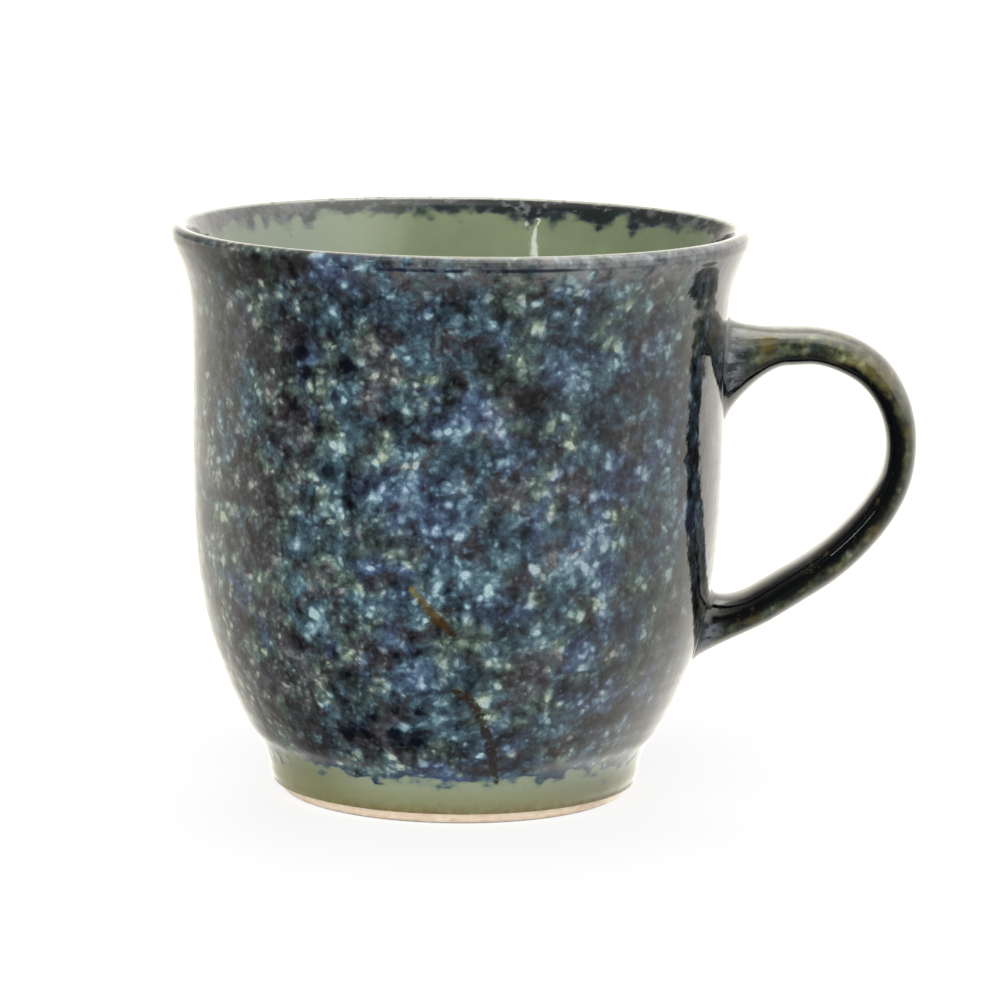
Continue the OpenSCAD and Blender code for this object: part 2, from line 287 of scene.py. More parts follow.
for items, count, lo_r, hi_r in ((LIGHT, 46, 1.7, 3.8), (DARK, 40, 1.6, 3.8), (BLUE, 16, 2.2, 5.0), (CLOT, 30, 0.6, 1.6)):
    items += [[68 + 224 * u, 13 + 74 * w, lo_r + (hi_r - lo_r) * q * q] for u, w, q in BACK.random((count, 3))]


def patches(T, Z, items):
    a = np.degrees(T - TH_FRONT)
    out = np.zeros(T.shape)
    zc = Z[:, 0] if Z.ndim == 2 else Z
    for ang, z, r, *weight in items:
        rows = np.abs(zc - z) < 2.2 * r
        if not rows.any():
            continue
        x = np.radians(np.mod(a[rows] - ang + 180, 360) - 180) * r_skin(z)
        q = (x / (1.2 * r)) ** 2 + ((Z[rows] - z) / r) ** 2
        out[rows] = np.maximum(out[rows], (weight[0] if weight else 1.0) * np.exp(-0.9 * q))
    return out


def flank_painted_light(T):
    """Painted light: the print is made lighter on the flanks than straight ahead, where the lamps light it less."""
    a = front_angle(T)
    return 0.045 * smooth(16, 38, a) * smooth(70, 46, a) + 0.03 * smooth(-30, -48, a) * smooth(-90, -60, a)


def warm(T, Z):
    """More olive and brown in the print round the left flank, less to the right of the middle."""
    a = front_angle(T)
    return smooth(-24, -46, a) * smooth(-150, -90, a) - 0.45 * smooth(6, 24, a) * smooth(84, 58, a) * smooth(34, 44, Z) * smooth(86, 80, Z)


def tone_of_height(Z):
    """The print is a little lighter round the belly than under the lip and above the foot."""
    return np.interp(Z, [8, 14, 20, 34, 50, 62, 74, 84, 92], [0.03, -0.045, -0.01, 0.005, 0.035, 0.01, -0.03, -0.02, -0.03])


def handle_painted_shade(T, Z):
    """Painted shade: towards 1 round the handle, where the handle shades the wall and mirrors darkly in it."""
    d = np.abs(np.degrees(T - TH_FRONT) % 360 - 90) + 7 * turned_noise(T, Z, 21, 40, 0.12, 3)
    return smooth(44, 24, d)


def zero(T):
    return np.zeros(T.shape)


def front_angle(T):
    return np.degrees(np.mod(T - TH_FRONT + math.pi, 2 * math.pi) - math.pi)


def lilac(T, Z):
    """A pale veil just under the lip, stronger to the right: partly the glaze's own colour, partly a painted
    reflection of the bright room on the lip's roll.
    """
    a = front_angle(T)
    return smooth(87.6, 91.4, Z) * (0.06 + 0.29 * smooth(-28, -12, a) + 0.65 * smooth(4, 22, a) * smooth(80, 50, a))


def lip_tone(T, Z):
    a = front_angle(T)
    return -0.27 * smooth(-22, -42, a) * smooth(-170, -130, a) * smooth(85, 90, Z) * smooth(93.2, 92.4, Z)


def outside_attrs(T, R, Z):
    # tone: the print's light and dark patches and a trend by height, plus painted light on the flanks and painted
    # shade round the handle.
    return {"lilac": lilac(T, Z), "warm": warm(T, Z), "edge": edge_outside(T, Z), "iron": stroke_field(T, Z), "inside": zero(T), "crest": zero(T),
            "tone": 0.18 * patches(T, Z, LIGHT) - 0.15 * patches(T, Z, DARK) + tone_of_height(Z) + flank_painted_light(T)
            - 0.21 * handle_painted_shade(T, Z) + lip_tone(T, Z),
            "blue": patches(T, Z, BLUE), "clot": patches(T, Z, CLOT)}


def ink(T):
    """How much of the coat inside the rim has pooled to near black."""
    a = front_angle(T)
    return np.where((a > -100) & (a < 0), 0.0, np.where(a < 0, smooth(-138, -156, a), 0.55 + 0.45 * smooth(120, 150, a)))


def milky(T):
    """The celadon inside is paler towards the left: partly paler glaze, partly a painted reflection."""
    a = front_angle(T)
    return smooth(-168, -140, a) * smooth(-60, -95, a)


def rim_attrs(T, R, Z):
    inner = R < 45.9
    # How thin the glaze is drawn over the crest, where the pale line is partly a painted highlight, and the line where
    # it pools under the lip.
    thin = np.exp(-((R - 45.75) / 0.55) ** 2) * smooth(93.2, 93.8, Z)
    a = front_angle(T)
    pool = np.exp(-((Z - 91.9) / 0.30) ** 2) * (R > 46.4) * (0.45 + 0.55 * smooth(26, 18, np.abs(a)))
    # tone outside the rim: darker to the left under the lip, plus painted shade round the handle.
    return {"edge": np.where(inner, edge_inside(T, Z), 6.0), "iron": zero(T), "inside": np.where(inner, smooth(94.0, 92.5, Z), 0.0),
            "crest": thin - pool, "lilac": np.where(inner, 0, lilac(T, Z)), "warm": np.where(inner, 0, warm(T, Z)),
            "ink": ink(T), "milky": milky(T),
            "tone": np.where(inner, 0, lip_tone(T, Z) - 0.13 * handle_painted_shade(T, Z)), "blue": zero(T), "clot": zero(T)}


def liner_attrs(T, R, Z):
    return {"edge": edge_inside(T, Z), "iron": zero(T), "inside": zero(T) + 1, "crest": zero(T), "tone": zero(T), "blue": zero(T),
            "clot": zero(T), "ink": ink(T), "milky": milky(T) * smooth(12, 40, Z)}


def wob(T, Z):
    """Slow unevenness of a hand-thrown wall, in mm, zero or inwards."""
    return 0.06 * (np.sin(2 * T + 0.7 + Z * 0.02) - 1) + 0.04 * (np.sin(3 * T - Z * 0.05) - 1)


def disp_outside(T, R, Z, vis, attrs):
    rings = 0.018 * np.sin(Z * 2 * math.pi / 3.1 + T + 0.8 * np.sin(Z * 0.9))
    low = 0.03 * turned_noise(T, Z, 8, 40, 0.16, 2)
    coat = -0.07 * (1 - smooth(-0.7, 0.9, attrs["edge"]))
    iron = 0.05 * attrs["iron"]
    lip = 1 - smooth(83, 90.0, Z)
    d = (rings + low - 0.02) * lip + coat + iron + wob(T, Z) * lip
    foot = smooth(2.0, 2.6, Z)
    return R + vis * d * foot, Z


def disp_rim(T, R, Z, vis, attrs):
    coat = 0.05 * (1 - smooth(-0.7, 0.9, attrs["edge"])) * attrs["inside"]
    return R + vis * coat, Z


def disp_liner(T, R, Z, vis, attrs):
    # Throwing rings rise as a slow spiral on the inside, and end in a small
    # button of clay at the middle of the floor.
    wall = smooth(10, 18, Z) * (1 - smooth(76, 86, Z))
    rings = 0.07 * np.sin(Z * 2 * math.pi / 5.2 + T) * wall
    floor = 0.09 * np.sin(R * 2 * math.pi / 4.6 - T) * smooth(3, 8, R) * (1 - smooth(24, 30, R))
    coat = 0.05 * (1 - smooth(-0.7, 0.9, attrs["edge"])) * smooth(84, 87, Z)
    button = 0.5 * np.exp(-(R / 3.5) ** 2) * (Z < 12)
    return R + vis * (rings - 0.06 * wall + coat), Z + vis * (floor * (Z < 14) + button)


NT = 480
mottled = lathe("sponged_glaze", skin_loop(I_BAND, I_RIM, 0.56, 4.0), NT, disp_outside, outside_attrs)
band = lathe("celadon_foot_band", skin_loop(0, I_BAND, 0.3, 1.5), NT, disp_outside, outside_attrs)
rim = lathe("lip_glaze", skin_loop(I_RIM, I_LINER, 0.2, 1.0), NT, disp_rim, rim_attrs)
vis = resample(SKIN[I_LINER * KS: -1], 0.7, True)
hid = resample(CLAY[I_LINER * KS: -1], 5.0)[::-1]
loop = np.vstack([np.column_stack([vis, np.ones(len(vis))])])
hid = np.column_stack([hid, np.zeros(len(hid))])
# The liner is a closed cup: its loop starts and ends on the axis.
full = np.vstack([hid, loop])
full[0, 0] = max(full[0, 0], 0.35)
full[-1, 0] = max(full[-1, 0], 0.35)
liner = lathe("celadon_liner", full, NT, disp_liner, liner_attrs, pole=True)
print("rows", len(vis), "tris", [len(o.data.polygons) * 2 for o in (mottled, band, rim, liner)])


# ---- bare clay foot
def foot_disp(T, R, Z, vis, attrs):
    groove = 0.035 * np.sin(Z * 2 * math.pi / 0.62 + 0.6 * np.sin(3 * T)) * smooth(0.3, 0.8, Z)
    grit = 0.03 * turned_noise(T, R + Z, 11, 220, 1.6, 2)
    wav = 0.05 * turned_noise(T, 0 * Z, 12, 7, 1.0, 2) * smooth(1.0, 2.0, Z)
    keep = smooth(0.05, 0.5, Z)
    return R + vis * (groove + grit - 0.05) * keep, Z + vis * wav * 0


f_out = curve([[27.9, 0], [28.35, 0.22], [28.9, 0.75], [29.4, 1.35], [29.88, 2.0], [30.0, 2.6], [30.3, 4.0]], 8)
f_in = curve([[30.3, 4.0], [24.1, 4.0]], 4)
f_well = curve([[24.1, 4.0], [24.4, 2.7], [25.1, 0.6], [25.7, 0.0]], 6)
f_rest = curve([[25.7, 0.0], [27.9, 0.0]], 5)
foot_loop = np.vstack([f_out[:-1], f_in[:-1], f_well[:-1], f_rest[:-1]])
foot_loop = np.column_stack([foot_loop, np.ones(len(foot_loop))])
foot = lathe("turned_foot", foot_loop, NT, foot_disp, lambda T, R, Z: {"grain": turned_noise(T, R + 2 * Z, 14, 60, 0.6, 3)})

# ---- glazed foot well
w_vis = curve([[23.38, 3.9], [22.9, 3.62], [21.5, 3.6], [12, 3.63], [0.3, 3.6]], 8)
w_vis = resample(w_vis, 0.5)
w_hid = np.array([[0.3, 4.0], [12, 4.0], [23.38, 4.0]])
well_loop = np.vstack([np.column_stack([w_hid, np.zeros(3)]), np.column_stack([w_vis, np.ones(len(w_vis))])])


def well_disp(T, R, Z, vis, attrs):
    rings = 0.05 * np.sin(R * 2 * math.pi / 3.4 + T) * smooth(2, 5, R) * (1 - smooth(20, 22.5, R))
    return R, Z + vis * (rings - 0.0)


well = lathe("well_glaze", well_loop, 300, well_disp,
             lambda T, R, Z: {"inside": zero(T) + 1}, pole=True)


# ---- handle
def spow(v, e):
    return np.sign(v) * np.abs(v) ** e


def build_handle(sides, lute_steps, path_step):
    path = curve(STRAP, 24)
    s = np.concatenate([[0], np.cumsum(np.linalg.norm(np.diff(path[:, :2], axis=0), axis=1))])
    n = int(s[-1] / path_step)
    q = np.linspace(0, s[-1], n + 1)
    path = np.stack([np.interp(q, s, path[:, k]) for k in range(3)], 1)
    d = np.gradient(path[:, :2], axis=0)
    d /= np.linalg.norm(d, axis=1)[:, None]
    out = np.stack([-d[:, 1], d[:, 0]], 1)
    f = 2 * math.pi * np.arange(sides) / sides
    e = 2 / STRAP_SQ

    def ring(i, g):
        u = i / n
        b = STRAP_W / 2 * (1 - 0.1 * math.sin(math.pi * u))
        # soft ridges left by the potter's fingers as the strap was pulled
        ridge = 0.10 * (np.cos(3 * f + 0.4) - 1) * min(1, 8 * u, 8 * (1 - u))
        qa, qb = (path[i, 2] + g + ridge) * spow(np.cos(f), e), (b + g + 0.5 * ridge) * spow(np.sin(f), e)
        return np.stack([path[i, 0] + out[i, 0] * qa, qb, path[i, 1] + out[i, 1] * qa], 1)

    def lute(j, g, end, direction, up):
        gg = g + GLAZE
        y = (j[2] + gg) * np.sin(f)
        z = j[0] + (j[1] + gg) * np.cos(f) * up
        r = r_skin(z) - (0.12 if g == 0 else 0)
        w = np.stack([np.sqrt(r * r - y * y), y, z], 1)
        sl = r_skin(z + 0.5) - r_skin(z - 0.5)
        nn = np.stack([w[:, 0] / r, w[:, 1] / r, -sl], 1)
        nn /= np.linalg.norm(nn, axis=1)[:, None]
        c = np.array([r_skin(j[0]), 0, j[0]]) - w
        t = c - (c * nn).sum(1)[:, None] * nn
        t /= np.linalg.norm(t, axis=1)[:, None]
        D = np.array([direction[0], 0, direction[1]])
        rows = []
        for k in range(lute_steps + 1):
            x = k / lute_steps
            rows.append((2 * x**3 - 3 * x**2 + 1) * w + (x**3 - 2 * x**2 + x) * t * 6.5
                        + (3 * x**2 - 2 * x**3) * end + (x**3 - x**2) * D * 12)
        return rows

    def tube(g):
        up = lute(UPPER, g, ring(0, g), d[0], 1)
        lo = lute(LOWER, g, ring(n, g), -d[n], -1)
        return up + [ring(i, g) for i in range(1, n)] + lo[::-1]

    outer, inner = tube(0), tube(-GLAZE)
    keep = [0] + list(range(6, len(inner) - 6, 8)) + [len(inner) - 1]
    inner = [inner[i] for i in keep]
    rings = outer + inner[::-1]
    V = np.concatenate(rings)
    V[:, 0] = np.minimum(V[:, 0], X_MAX)
    m = len(rings)
    idx = np.arange(m * sides).reshape(m, sides)
    a, b = idx, np.roll(idx, -1, axis=1)
    c, dd = np.roll(a, -1, axis=0), np.roll(b, -1, axis=0)
    faces = np.stack([a, b, dd, c], -1).reshape(-1, 4).tolist()
    # hand: 0 at the wall, 1 a few mm out along the strap; crest: +1 on the strap's outer face, -1 on the inner;
    # along: 0 at the upper joint, 1 at the lower one
    wall = np.hypot(V[:, 0], V[:, 1]) - r_skin(V[:, 2])
    hand = smooth(0.2, 4.6, wall)
    k_out, k_in = len(outer), len(inner)
    pos = np.concatenate([np.linspace(0, 1, k_out), np.array(keep)[::-1] / (len(tube(0)) - 1)])
    along = np.repeat(pos, sides)
    crest = np.tile(np.cos(f), m)
    ring_of = np.full(m, -1)
    for i in (0, k_out - 1, k_out, m - 1):
        ring_of[i] = i
    return new_mesh("handle_coat", V, faces, {"hand": hand, "crest": crest, "along": along, "wall": wall}, np.repeat(ring_of, sides))


handle = build_handle(112, 26, 0.42)
print("handle tris", len(handle.data.polygons) * 2)


# ------------------------------------------------------------------ materials
def srgb(r, g, b):
    def f(c):
        c = c / 255
        return c / 12.92 if c <= 0.04045 else ((c + 0.055) / 1.055) ** 2.4
    return (f(r), f(g), f(b), 1)


class Tree:
    """Small helper for building node trees."""

    def __init__(self, name):
        self.mat = bpy.data.materials.new(name)
        self.mat.use_nodes = True
        self.nt = self.mat.node_tree
        self.nt.nodes.clear()
        self.out = self.nt.nodes.new("ShaderNodeOutputMaterial")
        self.bsdf = self.nt.nodes.new("ShaderNodeBsdfPrincipled")
        self.nt.links.new(self.bsdf.outputs[0], self.out.inputs[0])
        tc = self.nt.nodes.new("ShaderNodeTexCoord")
        sc = self.nt.nodes.new("ShaderNodeVectorMath")
        sc.operation = "SCALE"
        sc.inputs[3].default_value = 1000
        self.nt.links.new(tc.outputs["Object"], sc.inputs[0])
        self.P = sc.outputs[0]

    def put(self, sock, v):
        if hasattr(v, "links") or isinstance(v, bpy.types.NodeSocket):
            self.nt.links.new(v, sock)
        else:
            sock.default_value = v

    def math(self, op, a, b=0.0, c=0.0, clamp=False):
        n = self.nt.nodes.new("ShaderNodeMath")
        n.operation = op
        n.use_clamp = clamp
        self.put(n.inputs[0], a)
        self.put(n.inputs[1], b)
        if len(n.inputs) > 2:
            self.put(n.inputs[2], c)
        return n.outputs[0]

    def vmath(self, op, a, b):
        n = self.nt.nodes.new("ShaderNodeVectorMath")
        n.operation = op
        self.put(n.inputs[0], a)
        self.put(n.inputs[1], b)
        return n.outputs[0]

    def offset(self, v, off, scale=(1, 1, 1)):
        n = self.nt.nodes.new("ShaderNodeMapping")
        self.put(n.inputs["Vector"], v)
        n.inputs["Location"].default_value = off
        n.inputs["Scale"].default_value = scale
        return n.outputs[0]

    def noise(self, v, scale, detail=3.0, rough=0.5, lac=2.0, distortion=0.0, color=False):
        n = self.nt.nodes.new("ShaderNodeTexNoise")
        n.noise_dimensions = "3D"
        self.put(n.inputs["Vector"], v)
        n.inputs["Scale"].default_value = scale
        n.inputs["Detail"].default_value = detail
        n.inputs["Roughness"].default_value = rough
        n.inputs["Lacunarity"].default_value = lac
        n.inputs["Distortion"].default_value = distortion
        return n.outputs["Color" if color else "Fac"]

    def voronoi(self, v, scale, feature="F1", rand=1.0, out="Distance"):
        n = self.nt.nodes.new("ShaderNodeTexVoronoi")
        n.feature = feature
        self.put(n.inputs["Vector"], v)
        n.inputs["Scale"].default_value = scale
        n.inputs["Randomness"].default_value = rand
        return n.outputs[out]

    def ramp(self, f, stops, interp="LINEAR"):
        n = self.nt.nodes.new("ShaderNodeValToRGB")
        n.color_ramp.interpolation = interp
        els = n.color_ramp.elements
        els[0].position, els[0].color = stops[0]
        els[1].position, els[1].color = stops[-1]
        for p, c in stops[1:-1]:
            e = els.new(p)
            e.color = c
        self.put(n.inputs[0], f)
        return n.outputs[0]

    def step(self, x, a, b):
        n = self.nt.nodes.new("ShaderNodeMapRange")
        n.interpolation_type = "SMOOTHSTEP"
        self.put(n.inputs["Value"], x)
        n.inputs["From Min"].default_value = a
        n.inputs["From Max"].default_value = b
        return n.outputs[0]

    def mix(self, f, a, b, blend="MIX"):
        n = self.nt.nodes.new("ShaderNodeMix")
        n.data_type = "RGBA"
        n.blend_type = blend
        n.clamp_factor = True
        self.put(n.inputs[0], f)
        self.put(n.inputs[6], a)
        self.put(n.inputs[7], b)
        return n.outputs[2]

    def attr(self, name):
        n = self.nt.nodes.new("ShaderNodeAttribute")
        n.attribute_type = "GEOMETRY"
        n.attribute_name = name
        return n.outputs["Fac"]

    def xyz(self, a, b, c):
        n = self.nt.nodes.new("ShaderNodeCombineXYZ")
        self.put(n.inputs[0], a)
        self.put(n.inputs[1], b)
        self.put(n.inputs[2], c)
        return n.outputs[0]

    def bump(self, h, dist, strength=1.0, normal=None):
        n = self.nt.nodes.new("ShaderNodeBump")
        self.put(n.inputs["Height"], h)
        n.inputs["Distance"].default_value = dist
        n.inputs["Strength"].default_value = strength
        if normal is not None:
            self.put(n.inputs["Normal"], normal)
        return n.outputs[0]


def palette(*cols):
    return [(i / (len(cols) - 1), srgb(*c)) for i, c in enumerate(cols)]


STEEL = palette((6, 11, 17), (30, 41, 49), (55, 71, 82), (77, 104, 116), (120, 150, 160), (172, 199, 203))
OLIVE = palette((9, 12, 11), (38, 45, 41), (63, 75, 72), (89, 107, 98), (136, 152, 134), (186, 196, 175))
SLATE = palette((9, 11, 20), (36, 41, 55), (58, 69, 92), (80, 101, 129), (120, 143, 166), (170, 189, 202))
BROWN = palette((12, 9, 11), (41, 38, 41), (63, 61, 65), (88, 89, 92), (130, 132, 126), (176, 176, 163))


def scaled(t, v, k):
    n = t.nt.nodes.new("ShaderNodeVectorMath")
    n.operation = "SCALE"
    t.put(n.inputs[0], v)
    n.inputs[3].default_value = k
    return n.outputs[0]


def grains(t, v, scale, r0, r1):
    """Round dabs of a sponge's pores, each with its own strength: 0 to 1."""
    n = t.nt.nodes.new("ShaderNodeTexVoronoi")
    n.feature = "F1"
    t.put(n.inputs["Vector"], v)
    n.inputs["Scale"].default_value = scale
    n.inputs["Randomness"].default_value = 1.0
    sep = t.nt.nodes.new("ShaderNodeSeparateColor")
    t.put(sep.inputs[0], n.outputs["Color"])
    dab = t.math("SUBTRACT", 1.0, t.step(n.outputs["Distance"], r0, r1))
    return t.math("MULTIPLY", dab, t.math("POWER", sep.outputs[0], 1.5)), sep.outputs[1]


def sponge(t, P, tone, blue, clot, warm):
    """Cobalt and iron glaze sponged on in dabs: blue-grey, olive, violet and brown, light dabs over dark."""
    PW = t.vmath("ADD", P, scaled(t, t.vmath("SUBTRACT", t.noise(P, 0.28, 1, 0.5, color=True), (0.5, 0.5, 0.5)), 1.5))
    PF = t.vmath("ADD", PW, scaled(t, t.vmath("SUBTRACT", t.noise(P, 1.1, 2, 0.5, color=True), (0.5, 0.5, 0.5)), 0.55))
    n1 = t.math("SUBTRACT", t.noise(PW, 0.20, 1, 0.5), 0.5)
    n2 = t.math("SUBTRACT", t.noise(t.offset(PW, (40, 12, 5)), 1.5, 2, 0.55), 0.5)
    n3 = t.math("SUBTRACT", t.noise(t.offset(PW, (4, 72, 15)), 0.50, 1, 0.5), 0.5)
    g1, c1 = grains(t, PF, 0.40, 0.16, 0.60)
    g2, c2 = grains(t, t.offset(PF, (13, 7, 3)), 0.60, 0.12, 0.60)
    g3, c3 = grains(t, t.offset(PF, (3, 17, 23)), 1.00, 0.10, 0.62)
    # the dabs come in clusters
    near = t.math("MULTIPLY_ADD", t.step(n1, -0.18, 0.14), 0.85, 0.40)
    lum = t.math("MULTIPLY_ADD", n1, 0.82, 0.370)
    lum = t.math("MULTIPLY_ADD", n3, 0.82, lum)
    lum = t.math("MULTIPLY_ADD", t.math("MULTIPLY", g1, near), 0.42, lum)
    lum = t.math("MULTIPLY_ADD", t.math("MULTIPLY", g2, near), 0.42, lum)
    lum = t.math("MULTIPLY_ADD", g3, 0.30, lum)
    lum = t.math("MULTIPLY_ADD", n2, 0.38, lum)
    # On the wall and rim, tone also brings painted light on the flanks and painted shade round the handle.
    lum = t.math("ADD", lum, tone)
    lum = t.math("MULTIPLY_ADD", clot, -0.22, lum)
    # thin dark threads between the dabs
    td = t.math("ABSOLUTE", t.math("SUBTRACT", t.noise(t.offset(PW, (35, 5, 48)), 0.7, 1, 0.5), 0.5))
    lum = t.math("MULTIPLY_ADD", t.math("SUBTRACT", 1.0, t.step(td, 0.0, 0.03)), -0.05, lum)
    # hue: four tones in patches of several millimetres
    h1 = t.math("ADD", t.noise(t.offset(PW, (50, 20, 10)), 0.10, 3, 0.6), t.math("MULTIPLY", t.math("SUBTRACT", c1, 0.5), 0.05))
    h1 = t.math("MULTIPLY_ADD", warm, 0.09, h1)
    h2 = t.math("MULTIPLY_ADD", warm, -0.05, t.noise(t.offset(PW, (-20, 40, 70)), 0.085, 3, 0.6))
    h3 = t.math("ADD", t.noise(t.offset(PW, (90, -10, 33)), 0.13, 3, 0.6), t.math("MULTIPLY", t.math("SUBTRACT", c2, 0.5), 0.05))
    h3 = t.math("MULTIPLY_ADD", warm, 0.065, h3)
    col = t.mix(t.step(h1, 0.44, 0.60), t.ramp(lum, STEEL), t.ramp(lum, OLIVE))
    col = t.mix(t.math("MAXIMUM", t.step(h2, 0.50, 0.66), t.math("MULTIPLY", blue, 0.9)), col, t.ramp(lum, SLATE))
    dark = t.math("SUBTRACT", 1.0, t.step(lum, 0.25, 0.60))
    col = t.mix(t.math("MULTIPLY", t.step(t.math("MULTIPLY_ADD", dark, 0.06, h3), 0.53, 0.66), 0.9), col, t.ramp(lum, BROWN))
    # soft, near-black pools
    ck = t.math("ADD", clot, t.math("MULTIPLY", t.math("SUBTRACT", t.noise(PF, 0.7, 4, 0.65), 0.5), 1.5))
    col = t.mix(t.math("MULTIPLY", t.step(ck, 0.30, 0.95), 0.93), col, srgb(8, 12, 24))
    return col, lum, PW


def glaze(name, kind):
    """kind: wall, band, rim, liner, well, handle."""
    t = Tree(name)
    P = t.P
    # ---- celadon, thin and warm over the clay, greener where it is thick
    c1 = t.noise(P, 0.09, 3, 0.5)
    c2 = t.noise(t.offset(P, (31, 5, 9)), 0.9, 4, 0.6)
    if kind in ("wall", "band"):
        sep = t.nt.nodes.new("ShaderNodeSeparateXYZ")
        t.put(sep.inputs[0], P)
        zz = t.math("MULTIPLY_ADD", t.math("SUBTRACT", t.noise(P, 0.35, 3, 0.6), 0.5), 0.9, sep.outputs[2])
        n = t.nt.nodes.new("ShaderNodeMapRange")
        t.put(n.inputs["Value"], zz)
        n.inputs["From Min"].default_value, n.inputs["From Max"].default_value = 1.8, 9.0
        cel = t.ramp(n.outputs[0], [(0.0, srgb(104, 88, 52)), (0.10, srgb(117, 110, 72)), (0.32, srgb(132, 134, 101)),
                                    (0.60, srgb(142, 149, 123)), (1.0, srgb(151, 161, 140))])
        cel = t.mix(t.math("MULTIPLY", t.step(c2, 0.35, 0.75), 0.5), cel, srgb(136, 142, 115))
        cel = t.mix(t.math("MULTIPLY", t.attr("warm"), 0.62), cel, srgb(118, 120, 78))
    else:
        cel = t.mix(t.step(c1, 0.35, 0.65), srgb(124, 136, 106), srgb(136, 148, 116))
        cel = t.mix(t.math("MULTIPLY", t.step(c2, 0.35, 0.75), 0.5), cel, srgb(130, 142, 114))
        if kind in ("rim", "liner"):
            # Paler celadon towards the left inside: partly glaze colour, partly a painted reflection.
            cel = t.mix(t.math("MULTIPLY", t.attr("milky"), 0.6), cel, srgb(148, 163, 146))
    cel = t.mix(t.math("MULTIPLY", t.step(t.noise(P, 2.6, 3, 0.6), 0.55, 0.8), 0.25), cel, srgb(118, 124, 92))
    if kind in ("well", "liner"):
        col = None
    if kind == "well":
        base = cel
    else:
        if kind == "handle":
            tone, blue, clot, wm = -0.10, 0.0, 0.0, 0.3
        else:
            tone, blue, clot, wm = t.attr("tone"), t.attr("blue"), t.attr("clot"), t.attr("warm")
        col, lum, PW = sponge(t, P, tone, blue, clot, wm)
        fine = t.noise(P, 3.4, 2, 0.6)
        col = t.mix(1.0, col, t.ramp(fine, [(0.25, (0.74, 0.74, 0.74, 1)), (0.5, (1, 1, 1, 1)), (0.78, (1.28, 1.28, 1.28, 1))]), "MULTIPLY")
    if kind in ("wall", "band", "liner", "rim"):
        # the coat's edge is smeared sideways: cobalt at the tips, a thin teal halo
        PS = t.offset(P, (3, 8, 2), (0.55, 0.55, 1.3))
        e = t.math("ADD", t.attr("edge"), t.math("MULTIPLY", t.math("SUBTRACT", t.noise(PS, 0.62, 4, 0.6), 0.5), 3.1))
        mask = t.step(e, -0.30, 0.75)
        halo = t.math("MULTIPLY", t.step(e, -1.3, 0.2), 0.45)
        thin = t.math("SUBTRACT", 1.0, t.step(e, 0.3, 2.2))
        tip = t.mix(t.step(t.noise(P, 0.45, 3, 0.55), 0.42, 0.58), srgb(44, 62, 98), srgb(58, 82, 88))
        coat = t.mix(t.math("MULTIPLY", thin, 0.72), col, tip)
        base = t.mix(mask, t.mix(halo, cel, srgb(92, 118, 112)), coat)
    if kind in ("rim", "wall"):
        # Pale grey veil under the lip: partly glaze colour, partly a painted reflection of the bright room.
        pale = t.step(t.noise(t.offset(PW, (7, 7, 7)), 0.45, 4, 0.62), 0.34, 0.62)
        base = t.mix(t.math("MULTIPLY", t.attr("lilac"), t.math("MULTIPLY", pale, 0.85)), base, srgb(146, 146, 146))
    if kind in ("rim", "liner"):
        # inside the rim: a soft lilac-grey veil with navy clots along its lower edge
        blob = t.math("MULTIPLY_ADD", t.step(e, 3.4, 1.0), 0.10, t.noise(t.offset(PW, (0, 0, 40), (1, 1, 1.3)), 0.36, 3, 0.55))
        blob = t.math("MULTIPLY_ADD", t.attr("ink"), 0.17, blob)
        veil = t.mix(t.step(t.noise(PW, 0.5, 4, 0.62), 0.40, 0.62), srgb(78, 78, 88), srgb(116, 116, 122))
        pool = t.mix(t.step(blob, 0.54, 0.68), veil, srgb(15, 20, 34))
        seen = t.step(e, -0.5, 1.5)
        inner = t.mix(t.math("MULTIPLY", seen, 0.92), cel, t.mix(t.math("MULTIPLY", thin, 0.5), pool, tip))
        base = inner if kind == "liner" else t.mix(t.step(t.attr("inside"), 0.0, 0.35), base, inner)
    if kind == "rim":
        cr = t.attr("crest")
        # Pale cream line over the crest: partly thin glaze, partly a painted highlight.
        thin_glaze_and_highlight = t.math("MULTIPLY", t.step(cr, 0.02, 0.5), t.step(t.noise(t.offset(P, (9, 2, 4)), 0.5, 4, 0.65), 0.26, 0.50))
        base = t.mix(t.math("MULTIPLY", thin_glaze_and_highlight, 0.85), base, srgb(196, 196, 178))
        line = t.math("MULTIPLY", t.step(t.math("MULTIPLY", cr, -1.0), 0.12, 0.8), t.step(t.noise(PW, 0.30, 3, 0.6), 0.40, 0.58))
        base = t.mix(t.math("MULTIPLY", line, 0.9), base, srgb(14, 22, 46))
    if kind in ("wall", "band"):
        iron = t.attr("iron")
        irn = t.step(t.math("MULTIPLY", iron, t.math("MULTIPLY_ADD", t.noise(PW, 1.2, 4, 0.65), 2.6, -0.45)), 0.20, 0.85)
        sep2 = t.nt.nodes.new("ShaderNodeSeparateXYZ")
        t.put(sep2.inputs[0], P)
        hz = t.math("MULTIPLY_ADD", t.math("SUBTRACT", t.noise(P, 0.5, 3, 0.6), 0.5), 9.0, sep2.outputs[2])
        n = t.nt.nodes.new("ShaderNodeMapRange")
        t.put(n.inputs["Value"], hz)
        n.inputs["From Min"].default_value, n.inputs["From Max"].default_value = 6.0, 46.0
        ic = t.ramp(n.outputs[0], [(0.0, srgb(28, 18, 8)), (0.28, srgb(40, 26, 10)), (0.45, srgb(46, 32, 13)), (0.70, srgb(44, 27, 8)),
                                   (0.80, srgb(84, 62, 20)), (0.92, srgb(138, 126, 58))])
        base = t.mix(t.math("MULTIPLY", irn, 0.90), base, ic)
    if kind == "handle":
        hand, crest, along = t.attr("hand"), t.attr("crest"), t.attr("along")
        o1 = t.math("SUBTRACT", t.noise(PW, 0.40, 5, 0.62), 0.5)
